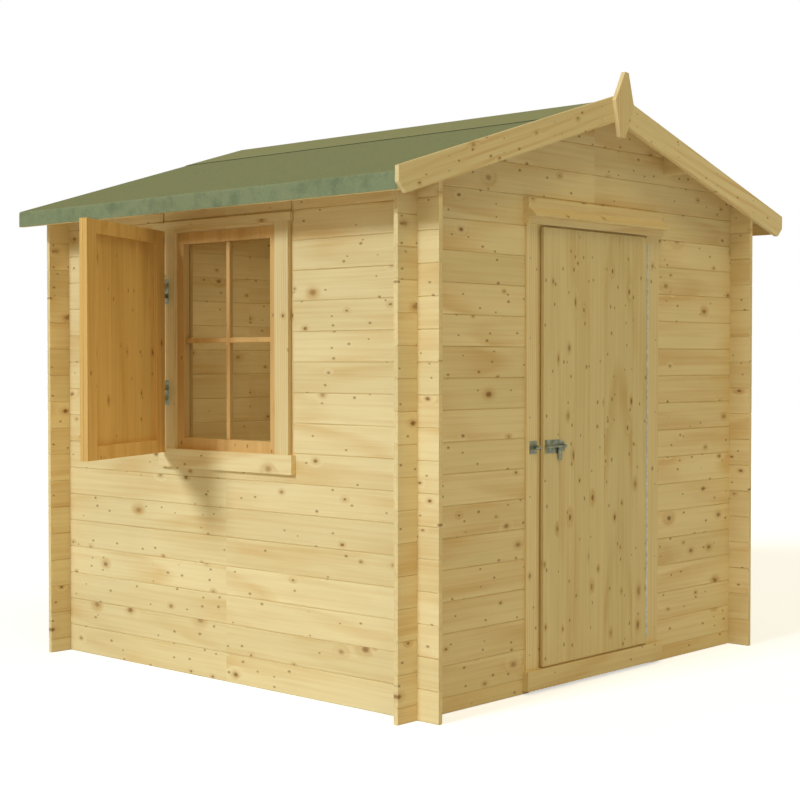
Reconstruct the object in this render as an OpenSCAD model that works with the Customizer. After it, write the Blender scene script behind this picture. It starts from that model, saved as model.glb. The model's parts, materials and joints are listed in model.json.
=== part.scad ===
// Small log cabin of interlocking machined logs: a felted gable roof, a boarded
// door on a long hinge with a sliding bolt, and a window with a hinged shutter.
// The front with the door faces -Y, the window and its shutter face -X, and the
// origin is on the ground at the middle of the plan.

/* [Cabin] */
// Width over the outer faces of the side walls
cabin_w = 2100; // [1700:10:2700]
// Depth over the outer faces of the front and back walls
cabin_d = 2050; // [1700:10:2800]
// Height that one log adds to the wall
course_h = 114; // [92:1:130]
// Full courses in the side walls, up to the log under the eaves
course_count = 17; // [15:1:20]
// Thickness of a log
log_t = 19; // [16:1:30]
// Length of the log ends past the corner joint
log_end = 100; // [60:5:140]
// Bevel along the outer edges of a log
log_bevel = 3; // [1:0.5:5]
// Gap between two courses
course_gap = 0.4; // [0.2:0.1:0.8]

/* [Roof] */
// Pitch of the roof in degrees
pitch = 17; // [12:0.5:25]
// Thickness of the roof boards
roof_board_t = 16; // [12:1:20]
// Thickness of the felt
felt_t = 2; // [1.5:0.5:4]
// Roof overhang past the side walls
eaves_over = 214; // [120:2:260]
// Roof overhang past the front wall
front_over = 102; // [90:2:200]
// Roof overhang past the back wall
back_over = 32; // [20:1:110]
// Height of the batten under the roof's lower edge
batten_h = 45; // [30:1:60]
// Thickness of the batten under the roof's lower edge
batten_t = 20; // [15:1:30]
// Radius of the felt's fold over the lower edge
fold_r = 12; // [6:1:14]
// Width of the felt strip each side of the ridge
ridge_strip_w = 366; // [150:2:480]
// Distance from the ridge to a purlin
purlin_off = 490; // [300:5:640]
// Width of a purlin
purlin_w = 44; // [36:1:60]
// Height of a purlin at its upper side
purlin_h = 72; // [60:1:95]
// Height of a bargeboard, measured upright
barge_h = 101; // [80:1:130]
// Thickness of a bargeboard
barge_t = 18; // [14:1:24]
// Height of a bargeboard's top above the felt
barge_rise = 18; // [5:1:30]
// Length of a bargeboard past the felt at the eaves
barge_over = 9; // [0:1:30]

/* [Door] */
// Width of the door leaf
leaf_w = 696; // [560:2:820]
// Height of the door leaf
leaf_h = 1677; // [1500:1:1750]
// Thickness of the door boards
door_board_t = 16; // [14:1:24]
// Thickness of the ledges and brace behind the door
ledge_t = 18; // [14:1:24]
// Height of the threshold
threshold_h = 86; // [60:1:110]
// Width over the trims beside the door
door_trim_out = 890; // [760:2:1040]
// Width of the trim on the latch side
door_trim_w = 64; // [45:1:90]
// How far the trims stand out from the logs
door_trim_t = 9; // [8:1:16]
// Thickness of the board over the door
head_board_t = 27; // [24:1:36]
// How far the door stands proud of its trims
door_proud = 8; // [6:1:12]
// Height of the board over the door
head_board_h = 95; // [70:1:120]
// How far the drip moulding stands out from the board over the door
drip_out = 31; // [18:1:45]
// Clearance round moving leaves
leaf_gap = 5; // [5:0.5:8]

/* [Door hardware] */
// Radius of the long hinge's barrel
barrel_r = 4; // [3:0.25:5]
// Radius of the long hinge's pin
door_pin_r = 1.5; // [1:0.25:2]
// Length of one barrel knuckle
knuckle_l = 60; // [40:5:80]
// Radius of the bolt
bolt_r = 5; // [4:0.5:7]
// Travel of the bolt
bolt_travel = 35; // [28:1:38]
// Running clearance round the bolt and the pins
run_gap = 0.08; // [0.04:0.01:0.1]
// Height of the bolt above the ground
bolt_z = 932; // [700:1:1200]

/* [Window] */
// Middle of the window, from the outer face of the front wall
window_mid = 1005; // [950:1:1050]
// Height of the top of the sill trim
window_sill_z = 906; // [850:1:912]
// Width over the upright window trims
window_trim_out = 738; // [600:2:800]
// Width of an upright window trim
window_trim_w = 74; // [50:1:90]
// How far the window trims stand out
window_trim_t = 15.5; // [12:0.5:22]
// Height of the window frame
window_frame_h = 866; // [700:1:880]
// Face width of the frame's rails
window_rail = 45; // [35:1:60]
// Depth of the window frame
window_frame_d = 50; // [44:1:60]
// Thickness of the glass
glass_t = 4; // [3:1:6]
// Depth of the glass behind the face of the frame
glass_back = 31; // [24:1:38]
// Height of the sill trim
sill_h = 74; // [50:1:90]
// How far the sill trim stands out
sill_t = 24; // [18:1:30]
// Height of the trim over the window
window_head_h = 32; // [24:1:40]

/* [Shutter] */
// Width of the shutter
shutter_w = 640; // [520:2:690]
// Height of the shutter
shutter_h = 888; // [700:1:890]
// Width of the shutter's stiles
stile_w = 70; // [50:1:90]
// Height of the shutter's rails
shutter_rail_h = 52; // [40:1:80]
// Thickness of the shutter's stiles and rails
stile_t = 16; // [14:1:20]
// Distance of each shutter hinge's middle from the shutter's middle
shutter_hinge_off = 205; // [120:5:320]
// Angle at which the shutter stands open
shutter_open = 65; // [0:1:110]

/* [Floor] */
// Thickness of the floor boards
floor_t = 16; // [12:1:22]
// Height of the floor bearers
bearer_h = 44; // [35:1:60]
// Width of a floor bearer
bearer_w = 44; // [35:1:60]
// Number of floor bearers, an odd number
bearer_count = 5; // [3:2:7]

/* [Finial] */
// Lean of the finial in degrees
finial_lean = 6; // [0:1:8]
// Width of the finial across its points
finial_w = 124; // [90:1:150]
// Height of the finial
finial_h = 258; // [180:1:300]

/* [Hidden] */
$fn = 48;

PINE = "burlywood";
FELT = "darkseagreen";
ZINC = "silver";

// A cut runs this far past the face it opens.
cut = 1;
rise = tan(pitch);
mid_x = cabin_w / 2;

// Roof heights at the middle of the gable, measured upright.
wall_top = course_count * course_h;
deck_under_mid = wall_top + mid_x * rise + 2;
deck_top_mid = deck_under_mid + roof_board_t / cos(pitch);
felt_top_mid = deck_top_mid + felt_t / cos(pitch);
deck_up = roof_board_t / cos(pitch);
felt_up = deck_up + felt_t / cos(pitch);
barge_top_mid = felt_top_mid + barge_rise;
roof_y0 = -front_over;
roof_y1 = cabin_d + back_over;

// Side courses start with a whole log and end courses with half a log.
side_first = 0;
end_first = -course_h / 2;
tongue_w = log_t * 0.3;
tongue_h = 6;

// Door layout, from the outer left corner of the front wall.
leaf_x0 = mid_x - leaf_w / 2 - 1;
leaf_x1 = leaf_x0 + leaf_w;
leaf_z0 = threshold_h + leaf_gap;
leaf_z1 = leaf_z0 + leaf_h;
leaf_front = -door_trim_t - door_proud;
leaf_back = leaf_front + door_board_t;
jamb_face = leaf_back + leaf_gap;
jamb_lap = 20;
jamb_back = log_t + 16;
jamb_w = 82;
door_clear_x0 = leaf_x0 + jamb_lap;
door_clear_x1 = leaf_x1 - jamb_lap;
jamb_x0 = door_clear_x0 - jamb_w;
jamb_x1 = door_clear_x1 + jamb_w;
door_top_z = 15.5 * course_h;
head_rail_h = 32;
trim_x0 = mid_x - door_trim_out / 2;
trim_x1 = mid_x + door_trim_out / 2;
hinge_x = leaf_x1 + barrel_r + 1.5;
hinge_y = leaf_front;
hinge_plate_t = 1.2;
hinge_trim_x = hinge_x + barrel_r + hinge_plate_t + 0.5;
head_over = 9;
head_board_z = leaf_z1 + leaf_gap + 2;
threshold_z0 = 12;

// Bolt layout on the door leaf.
bolt_plate_t = 1.5;
bolt_y = leaf_front - bolt_plate_t - bolt_r - 1.5;
bolt_x0 = leaf_x0 + 9;
bolt_plate_w = 102;
bolt_tail_w = 22;
bolt_plate_h = 52;
strap_w = 26;
strap_wall = 2;
bolt_nose = bolt_x0 - 6;
bolt_len = 130;
handle_x = bolt_x0 + 74;
keep_w = 44;
keep_gap = 1;

// Window layout, from the outer face of the front wall.
post_w = 14;
window_y0 = window_mid - window_trim_out / 2;
window_y1 = window_mid + window_trim_out / 2;
wall_open_y0 = window_y0 - post_w;
wall_open_y1 = window_y1 + post_w;
window_top = window_sill_z + window_frame_h;
window_head_z = window_top + 13;
window_lap = 40;
glass_in = 8;
sash_y0 = window_y0 + window_trim_w + window_lap;
sash_y1 = window_y1 - window_trim_w - window_lap;
lower_courses = 8;

// Shutter layout. It hangs on the trim at the back of the window.
shutter_z0 = window_sill_z - 14;
shutter_face = -sill_t - leaf_gap - 1;
shutter_axis_y = window_y1 - 36;
shutter_axis_x = shutter_face - 8;
shutter_barrel_r = 4;
shutter_edge = shutter_barrel_r + 1.5;
shutter_hinge_l = 100;
shutter_mid_z = shutter_z0 + shutter_h / 2;
shutter_hinge_z = [
    shutter_mid_z - shutter_hinge_off - shutter_hinge_l / 2,
    shutter_mid_z + shutter_hinge_off - shutter_hinge_l / 2
];
shutter_plate_w = 22;

floor_z = bearer_h;
floor_fit = 0.3;
roof_fit = 0.1;

module from_corner() {
    translate([-cabin_w / 2, -cabin_d / 2, 0]) children();
}

function deck_under(x) = deck_under_mid - abs(x - mid_x) * rise;
batten_foot = deck_under(-eaves_over) - batten_h;

// Section of one log: X across the wall with the outer face at 0, Y upwards.
module log_section(h, tongue, groove) {
    top = h - course_gap;
    bevel = log_bevel;
    difference() {
        union() {
            polygon([
                [bevel, 0], [log_t - bevel, 0], [log_t, bevel],
                [log_t, top - bevel], [log_t - bevel, top],
                [bevel, top], [0, top - bevel], [0, bevel]
            ]);
            if (tongue)
                translate([(log_t - tongue_w) / 2, top - cut])
                    square([tongue_w, tongue_h - course_gap + cut]);
        }
        if (groove)
            translate([(log_t - tongue_w) / 2 - course_gap, -cut])
                square([tongue_w + 2 * course_gap, tongue_h + course_gap + cut]);
    }
}

// One log along +Y from y0 to y1, its outer face at X = 0 and its foot at z.
module side_log(y0, y1, z, h, tongue = true, groove = true) {
    translate([0, y1, z])
        rotate([90, 0, 0])
            linear_extrude(y1 - y0)
                log_section(h, tongue, groove);
}

// One log along +X from x0 to x1, its outer face at Y = 0 and its foot at z.
module end_log(x0, x1, z, h, tongue = true, groove = true) {
    translate([x0, 0, z])
        rotate([90, 0, 90])
            linear_extrude(x1 - x0)
                log_section(h, tongue, groove);
}

// Space of the crossing wall's logs at a corner, for courses that start at
// first: the middle half of each crossing log.
module corner_notches(first) {
    gap = course_gap;
    for (k = [0 : course_count + 1])
        translate([-gap / 2, -gap / 2, first + k * course_h + course_h / 4 - gap / 2])
            cube([log_t + gap, log_t + gap, course_h / 2 + gap]);
}

// The four corner columns, filled where the other walls' logs pass.
module all_notches(first) {
    for (x = [0, cabin_w - log_t])
        for (y = [0, cabin_d - log_t])
            translate([x, y, 0]) corner_notches(first);
}

// Solid under the roof boards, as a gable outline run through the whole depth.
module under_roof() {
    reach = log_end + 60;
    translate([0, cabin_d + reach, 0])
        rotate([90, 0, 0])
            linear_extrude(cabin_d + 2 * reach)
                polygon([
                    [-reach, -cut], [cabin_w + reach, -cut],
                    [cabin_w + reach, deck_under(cabin_w + reach) - course_gap],
                    [mid_x, deck_under_mid - course_gap],
                    [-reach, deck_under(-reach) - course_gap]
                ]);
}

module side_courses(first, last, y0, y1) {
    for (k = [first : last]) {
        top_log = k == course_count;
        h = top_log ? course_h + log_t * rise + 2 : course_h;
        side_log(y0, y1, (k - 1) * course_h, h, !top_log, k > 1);
    }
}

module side_wall_trimmed() {
    difference() {
        intersection() {
            children();
            under_roof();
        }
        all_notches(end_first);
    }
}

module end_courses(first, last, x0, x1) {
    for (k = [first : last]) {
        z = end_first + k * course_h;
        h = k == 0 ? course_h / 2 : course_h;
        end_log(x0, x1, max(z, 0), h, true, k > 0);
    }
}

module end_wall_trimmed() {
    difference() {
        intersection() {
            children();
            under_roof();
        }
        all_notches(side_first);
        purlin_space();
    }
}

purlin_x = [mid_x - purlin_off - purlin_w, mid_x + purlin_off];

// Outline of a purlin: its top follows the roof boards.
module purlin_outline(x, gap) {
    high = max(deck_under(x), deck_under(x + purlin_w));
    foot = high - purlin_h;
    polygon([
        [x - gap, foot - gap], [x + purlin_w + gap, foot - gap],
        [x + purlin_w + gap, deck_under(x + purlin_w + gap) + gap - roof_fit],
        [x - gap, deck_under(x - gap) + gap - roof_fit]
    ]);
}

module purlin_run(y0, y1, gap) {
    for (x = purlin_x)
        translate([0, y1, 0])
            rotate([90, 0, 0])
                linear_extrude(y1 - y0)
                    purlin_outline(x, gap);
}

module purlin_space() {
    purlin_run(roof_y0 - 50, roof_y1 + 50, course_gap);
}

// ---------------------------------------------------------------- walls

module left_wall_lower() {
    color(PINE)
        from_corner()
            side_wall_trimmed()
                difference() {
                    side_courses(1, lower_courses, -log_end, cabin_d + log_end);
                    translate([-cut, wall_open_y0, window_sill_z])
                        cube([log_t + 2 * cut, wall_open_y1 - wall_open_y0, course_h]);
                }
}

module left_wall_front() {
    color(PINE)
        from_corner()
            side_wall_trimmed()
                side_courses(lower_courses + 1, course_count, -log_end, wall_open_y0);
}

module left_wall_back() {
    color(PINE)
        from_corner()
            side_wall_trimmed()
                side_courses(lower_courses + 1, course_count, wall_open_y1, cabin_d + log_end);
}

// Short logs over the window, between the two posts.
module left_wall_header() {
    join = (course_count - 1) * course_h;
    color(PINE)
        from_corner()
            side_wall_trimmed() {
                side_log(window_y0, window_y1, window_top + course_gap,
                    join - window_top - course_gap, true, false);
                side_courses(course_count, course_count, window_y0, window_y1);
            }
}

module right_wall() {
    color(PINE)
        from_corner()
            side_wall_trimmed()
                translate([cabin_w, 0, 0])
                    mirror([1, 0, 0])
                        side_courses(1, course_count, -log_end, cabin_d + log_end);
}

module front_wall_left() {
    color(PINE)
        from_corner()
            end_wall_trimmed()
                end_courses(0, 15, -log_end, jamb_x0);
}

module front_wall_right() {
    color(PINE)
        from_corner()
            end_wall_trimmed()
                end_courses(0, 15, jamb_x1, cabin_w + log_end);
}

module front_gable() {
    color(PINE)
        from_corner()
            end_wall_trimmed()
                end_courses(16, gable_last, -log_end, cabin_w + log_end);
}

gable_last = ceil((deck_under_mid - end_first) / course_h) - 1;

module to_back() {
    translate([0, cabin_d, 0])
        mirror([0, 1, 0])
            children();
}

module back_wall() {
    color(PINE)
        from_corner()
            end_wall_trimmed()
                to_back()
                    end_courses(0, 15, -log_end, cabin_w + log_end);
}

module back_gable() {
    color(PINE)
        from_corner()
            end_wall_trimmed()
                to_back()
                    end_courses(16, gable_last, -log_end, cabin_w + log_end);
}

// ---------------------------------------------------------------- floor

module floor_bearers() {
    inset = log_t + floor_fit;
    span = cabin_d - 2 * inset - bearer_w;
    color(PINE)
        from_corner()
            for (i = [0 : bearer_count - 1])
                translate([inset, inset + i * span / (bearer_count - 1), 0])
                    cube([cabin_w - 2 * inset, bearer_w, bearer_h]);
}

module floor_boards() {
    inset = log_t + floor_fit;
    color(PINE)
        from_corner()
            translate([inset, inset, floor_z])
                cube([cabin_w - 2 * inset, cabin_d - 2 * inset, floor_t]);
}

// ----------------------------------------------------------------- roof

module purlins() {
    color(PINE)
        from_corner()
            purlin_run(roof_y0, roof_y1 - 1, 0);
}

// One slope's slab, between two upright offsets above the deck underside.
module slope_slab(x0, low, high, y0, y1) {
    translate([0, y1, 0])
        rotate([90, 0, 0])
            linear_extrude(y1 - y0)
                polygon([
                    [x0, deck_under(x0) + low], [mid_x, deck_under_mid + low],
                    [mid_x, deck_under_mid + high], [x0, deck_under(x0) + high]
                ]);
}

module to_right() {
    translate([cabin_w, 0, 0])
        mirror([1, 0, 0])
            children();
}

// Everything under one slope's skin: the skin lies up above the deck underside,
// its lower edge is at x0, and that edge is rounded to the radius.
module slope_region(x0, up, radius, foot) {
    top0 = deck_under(x0) + up;
    zc = top0 + radius * rise - radius / cos(pitch);
    polygon([
        [x0, foot], [mid_x, foot], [mid_x, deck_under_mid + up],
        [x0 + radius - radius * sin(pitch), zc + radius * cos(pitch)], [x0, zc]
    ]);
    translate([x0 + radius, zc]) circle(r = radius);
}

module below_deck(x0) {
    polygon([
        [x0, 0], [mid_x + cut, 0], [mid_x + cut, deck_under_mid + cut * rise],
        [x0, deck_under(x0)]
    ]);
}

module along_roof(y0, y1) {
    translate([0, y1, 0])
        rotate([90, 0, 0])
            linear_extrude(y1 - y0)
                children();
}

module deck_left() {
    along_roof(roof_y0, roof_y1)
        difference() {
            slope_region(-eaves_over, deck_up, fold_r - felt_t, batten_foot);
            below_deck(-eaves_over - cut);
        }
}

module roof_boards_left() {
    color(PINE) from_corner() deck_left();
}

module roof_boards_right() {
    color(PINE) from_corner() to_right() deck_left();
}

module eaves_batten() {
    along_roof(roof_y0, roof_y1)
        polygon([
            [-eaves_over, batten_foot], [-eaves_over + batten_t, batten_foot],
            [-eaves_over + batten_t, deck_under(-eaves_over + batten_t) - roof_fit],
            [-eaves_over, deck_under(-eaves_over) - roof_fit]
        ]);
}

module eaves_battens() {
    color(PINE)
        from_corner() {
            eaves_batten();
            to_right() eaves_batten();
        }
}

// Felt over one slope, folded down over the batten and over the back edge.
module felt_sheet() {
    x0 = -eaves_over - felt_t;
    along_roof(roof_y0, roof_y1)
        difference() {
            slope_region(x0, felt_up, fold_r, batten_foot);
            translate([0, -cut])
                polygon([
                    [-eaves_over, batten_foot], [mid_x + cut, batten_foot],
                    [mid_x + cut, deck_under_mid], [-eaves_over, deck_under(-eaves_over)]
                ]);
            slope_region(-eaves_over, deck_up, fold_r - felt_t, batten_foot - cut);
            translate([mid_x - cut, batten_foot - cut])
                square([2 * cut, deck_under_mid + deck_up - batten_foot + cut]);
        }
    along_roof(roof_y1, roof_y1 + felt_t)
        difference() {
            slope_region(x0, felt_up, fold_r, batten_foot);
            below_deck(-eaves_over);
        }
}

module felt_left() {
    color(FELT) from_corner() felt_sheet();
}

module felt_right() {
    color(FELT) from_corner() to_right() felt_sheet();
}

module ridge_strip() {
    up = felt_up + roof_fit;
    x0 = mid_x - ridge_strip_w * cos(pitch);
    color(FELT)
        from_corner()
            union() {
                slope_slab(x0, up, up + felt_t / cos(pitch), roof_y0, roof_y1 + felt_t);
                to_right()
                    slope_slab(x0, up, up + felt_t / cos(pitch), roof_y0, roof_y1 + felt_t);
            }
}

// Outline of the left bargeboard, with its end cut upright and chamfered.
module barge_outline(top_mid, height, reach) {
    x0 = -reach;
    top0 = top_mid - (mid_x - x0) * rise;
    end_h = height * 0.54;
    tip = 38;
    polygon([
        [mid_x, top_mid], [x0, top0], [x0, top0 - end_h],
        [x0 + tip, top0 + tip * rise - height], [mid_x, top_mid - height]
    ]);
}

module barge(y0, top_mid, height, reach) {
    translate([0, y0 + barge_t, 0])
        rotate([90, 0, 0])
            linear_extrude(barge_t)
                barge_outline(top_mid, height, reach);
}

module bargeboard_left() {
    color(PINE)
        from_corner()
            barge(roof_y0 - barge_t, barge_top_mid, barge_h, eaves_over + felt_t + barge_over);
}

module bargeboard_right() {
    color(PINE)
        from_corner()
            to_right()
                barge(roof_y0 - barge_t, barge_top_mid, barge_h, eaves_over + felt_t + barge_over);
}

module finial() {
    mid_z = barge_top_mid - 34;
    top = finial_h * 0.47;
    foot = -finial_h * 0.53;
    color(PINE)
        from_corner()
            translate([mid_x + 9, roof_y0 - barge_t, mid_z])
                rotate([90, finial_lean, 0])
                    linear_extrude(barge_t)
                        polygon([
                            [-12, top], [-finial_w / 2, 0], [-17, foot],
                            [17, foot], [finial_w / 2, 0], [12, top]
                        ]);
}

// ----------------------------------------------------------- door frame

module door_jambs() {
    color(PINE)
        from_corner()
            for (x = [jamb_x0, door_clear_x1])
                translate([x, jamb_face, threshold_h])
                    cube([jamb_w, jamb_back - jamb_face, door_top_z - threshold_h]);
}

module door_head_rail() {
    color(PINE)
        from_corner()
            translate([door_clear_x0, jamb_face, door_top_z - head_rail_h])
                cube([door_clear_x1 - door_clear_x0, jamb_back - jamb_face, head_rail_h]);
}

// Trims lap the log ends. A lip on each goes in to its jamb, under the gable
// logs. The hinge side is wider, up to the barrel of the hinge.
module door_trims() {
    height = head_board_z - threshold_h;
    lip_h = door_top_z - threshold_h - 0.3;
    left_edge = trim_x0 + door_trim_w;
    color(PINE)
        from_corner() {
            translate([trim_x0, -door_trim_t, threshold_h])
                cube([door_trim_w, door_trim_t, height]);
            translate([jamb_x0 + 0.1, -1, threshold_h])
                cube([left_edge - jamb_x0 - 0.1, jamb_face + 1, lip_h]);
            translate([hinge_trim_x, -door_trim_t, threshold_h])
                cube([trim_x1 - hinge_trim_x, door_trim_t, height]);
            translate([hinge_trim_x, -1, threshold_h])
                cube([jamb_x1 - hinge_trim_x - 0.1, jamb_face + 1, lip_h]);
        }
}

module door_head_board() {
    color(PINE)
        from_corner()
            translate([trim_x0 - head_over, -head_board_t, head_board_z])
                cube([door_trim_out + 2 * head_over, head_board_t, head_board_h]);
}

// Sloping moulding that throws rain clear of the door.
module drip_moulding() {
    z = head_board_z + 27;
    color(PINE)
        from_corner()
            translate([trim_x0 - head_over, -head_board_t, z])
                rotate([90, 0, 90])
                    linear_extrude(door_trim_out + 2 * head_over)
                        polygon([[0, 0], [-drip_out, 0], [-drip_out, 6], [0, 34]]);
}

module threshold() {
    color(PINE)
        from_corner()
            translate([0, 0, threshold_z0])
                linear_extrude(threshold_h - threshold_z0)
                    polygon([
                        [trim_x0 - head_over, -head_board_t], [trim_x1 + head_over, -head_board_t],
                        [trim_x1 + head_over, 0], [jamb_x1, 0], [jamb_x1, log_t],
                        [jamb_x0, log_t], [jamb_x0, 0], [trim_x0 - head_over, 0]
                    ]);
}

// ----------------------------------------------------------------- door

module door_leaf() {
    color(PINE)
        from_corner()
            translate([leaf_x0, leaf_front, leaf_z0])
                cube([leaf_w, door_board_t, leaf_h]);
}

// Three ledges behind the boards, with a brace rising from each lower one.
module door_ledges() {
    inset = jamb_lap + 14;
    w = leaf_w - 2 * inset;
    ledge_h = 90;
    z = [leaf_z0 + 110, leaf_z0 + leaf_h / 2 - ledge_h / 2, leaf_z1 - 110 - ledge_h];
    color(PINE)
        from_corner()
            translate([leaf_x0 + inset, leaf_back + ledge_t, 0])
                rotate([90, 0, 0])
                    linear_extrude(ledge_t) {
                        for (foot = z)
                            translate([0, foot]) square([w, ledge_h]);
                        for (i = [0, 1])
                            polygon([
                                [w - 10, z[i] + ledge_h + 0.3], [w - 120, z[i] + ledge_h + 0.3],
                                [10, z[i + 1] - 0.3], [120, z[i + 1] - 0.3]
                            ]);
                    }
}

knuckles = floor(leaf_h / knuckle_l);
hinge_l = knuckles * knuckle_l;
hinge_z0 = leaf_z0 + (leaf_h - hinge_l) / 2;

// Alternate knuckles of a hinge barrel, standing on z0.
module barrel(z0, count, length, radius, pin, odd) {
    for (k = [0 : count - 1])
        if (k % 2 == (odd ? 1 : 0))
            translate([0, 0, z0 + k * length + 0.3])
                difference() {
                    cylinder(h = length - 0.6, r = radius);
                    translate([0, 0, -cut])
                        cylinder(h = length + 2 * cut, r = pin);
                }
}

// The fixed side of the long hinge: plate, knuckles and pin.
module door_hinge_fixed() {
    color(ZINC)
        from_corner()
            union() {
                translate([hinge_x, hinge_y, 0])
                    barrel(hinge_z0, knuckles, knuckle_l, barrel_r, door_pin_r - 0.2, true);
                translate([hinge_x, hinge_y, hinge_z0])
                    cylinder(h = hinge_l, r = door_pin_r);
                translate([hinge_trim_x - hinge_plate_t, hinge_y + 2, hinge_z0])
                    cube([hinge_plate_t, jamb_face - 1 - hinge_y - 2, hinge_l]);
                for (k = [0 : knuckles - 1])
                    if (k % 2 == 1)
                        translate([hinge_x + barrel_r * 0.45, hinge_y,
                            hinge_z0 + k * knuckle_l + 0.3])
                            cube([barrel_r * 0.55 + 1, 3.2, knuckle_l - 0.6]);
            }
}

// The moving side of the long hinge, screwed to the edge of the door.
module door_hinge_moving() {
    color(ZINC)
        from_corner()
            union() {
                translate([hinge_x, hinge_y, 0])
                    barrel(hinge_z0, knuckles, knuckle_l, barrel_r, door_pin_r + run_gap, false);
                translate([leaf_x1, leaf_front, hinge_z0])
                    cube([hinge_plate_t, door_board_t - 2, hinge_l]);
                for (k = [0 : knuckles - 1])
                    if (k % 2 == 0)
                        translate([leaf_x1, leaf_front, hinge_z0 + k * knuckle_l + 0.3])
                            cube([hinge_x - leaf_x1 - door_pin_r - 0.8, 1.6, knuckle_l - 0.6]);
            }
}

// ----------------------------------------------------------------- bolt

// A strap bent over the bolt, with feet on its plate.
module strap(x, w, base_y, bore) {
    out = bore + strap_wall;
    translate([x, bolt_y, bolt_z])
        rotate([0, 90, 0])
            difference() {
                union() {
                    cylinder(h = w, r = out);
                    translate([-out, 0, 0])
                        cube([2 * out, base_y - bolt_y, w]);
                }
                translate([0, 0, -cut])
                    cylinder(h = w + 2 * cut, r = bore);
            }
}

module bolt_keep() {
    x0 = trim_x0 + door_trim_w - keep_w - 1;
    color(ZINC)
        from_corner()
            union() {
                translate([x0, -door_trim_t - bolt_plate_t, bolt_z - 25])
                    cube([keep_w, bolt_plate_t, 50]);
                strap(x0 + 12, keep_w - 12, -door_trim_t - bolt_plate_t / 2, bolt_r + keep_gap);
            }
}

module bolt_body() {
    color(ZINC)
        from_corner()
            union() {
                translate([bolt_x0, leaf_front - bolt_plate_t, bolt_z - bolt_plate_h / 2])
                    cube([bolt_plate_w, bolt_plate_t, bolt_plate_h]);
                translate([bolt_x0 + bolt_plate_w, leaf_front - bolt_plate_t, bolt_z - 19])
                    cube([bolt_tail_w, bolt_plate_t, 38]);
                strap(bolt_x0 + 2, strap_w, leaf_front - bolt_plate_t / 2, bolt_r + run_gap);
                strap(bolt_x0 + bolt_plate_w + 2, bolt_tail_w - 4,
                    leaf_front - bolt_plate_t / 2, bolt_r + run_gap);
            }
}

// The bolt with its flat handle, drawn back.
module bolt_rod() {
    handle_w = 22;
    handle_t = 3;
    color(ZINC)
        from_corner()
            union() {
                translate([bolt_nose, bolt_y, bolt_z])
                    rotate([0, 90, 0])
                        cylinder(h = bolt_len, r = bolt_r);
                translate([handle_x, bolt_y - handle_t / 2, bolt_z - 52])
                    cube([handle_w, handle_t, 52]);
            }
}

// --------------------------------------------------------------- window

module window_posts() {
    color(PINE)
        from_corner()
            for (y = [wall_open_y0 + course_gap / 2, window_y1 + course_gap / 2])
                translate([6, y, window_sill_z])
                    cube([window_frame_d - 6, post_w - course_gap,
                        deck_under(6) - 4 - window_sill_z]);
}

// Two stiles with the rails between them, grooved for the glass.
module window_frame() {
    joint = 0.2;
    z0 = window_sill_z;
    color(PINE)
        from_corner()
            difference() {
                union() {
                    for (y = [window_y0, sash_y1])
                        translate([0, y, z0])
                            cube([window_frame_d, sash_y0 - window_y0, window_frame_h]);
                    for (z = [z0, z0 + window_frame_h - window_rail])
                        translate([0, sash_y0 + joint, z])
                            cube([window_frame_d, sash_y1 - sash_y0 - 2 * joint, window_rail]);
                }
                translate([glass_back, sash_y0 - glass_in, z0 + window_rail - glass_in])
                    cube([glass_t, sash_y1 - sash_y0 + 2 * glass_in,
                        window_frame_h - 2 * window_rail + 2 * glass_in]);
            }
}

module window_glass() {
    color("lightblue", 0.4)
        from_corner()
            translate([glass_back, sash_y0 - glass_in, window_sill_z + window_rail - glass_in])
                cube([glass_t, sash_y1 - sash_y0 + 2 * glass_in,
                    window_frame_h - 2 * window_rail + 2 * glass_in]);
}

module window_trims() {
    color(PINE)
        from_corner()
            for (y = [window_y0, window_y1 - window_trim_w])
                translate([-window_trim_t, y, window_sill_z])
                    cube([window_trim_t, window_trim_w, window_head_z - window_sill_z]);
}

module window_head_trim() {
    color(PINE)
        from_corner()
            translate([-window_trim_t, window_y0 - 12, window_head_z])
                cube([window_trim_t, window_trim_out + 12 + 62, window_head_h]);
}

module window_sill_trim() {
    color(PINE)
        from_corner()
            translate([-sill_t, window_y0 - 25, window_sill_z - sill_h])
                cube([sill_t, window_trim_out + 25 + 17, sill_h]);
}

// -------------------------------------------------------------- shutter

// Stands the closed shutter open by shutter_open degrees.
module swung_open() {
    translate([shutter_axis_x, shutter_axis_y, 0])
        rotate([0, 0, -shutter_open])
            translate([-shutter_axis_x, -shutter_axis_y, 0])
                children();
}

shutter_y0 = shutter_axis_y - shutter_edge - shutter_w;

module shutter_boards() {
    color(PINE)
        from_corner()
            swung_open()
                translate([shutter_face - stile_t - door_board_t, shutter_y0, shutter_z0])
                    cube([door_board_t, shutter_w, shutter_h]);
}

// Two stiles with the rails between them, on the inner side of the boards.
module shutter_frame() {
    joint = 0.3;
    color(PINE)
        from_corner()
            swung_open()
                translate([shutter_face - stile_t, shutter_y0, shutter_z0]) {
                    for (y = [0, shutter_w - stile_w])
                        translate([0, y, 0])
                            cube([stile_t, stile_w, shutter_h]);
                    for (z = [0, shutter_h - shutter_rail_h])
                        translate([0, stile_w + joint, z])
                            cube([stile_t, shutter_w - 2 * stile_w - 2 * joint, shutter_rail_h]);
                }
}

shutter_knuckle = shutter_hinge_l / 5;
shutter_plate_x = -window_trim_t - 1.5;

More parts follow.
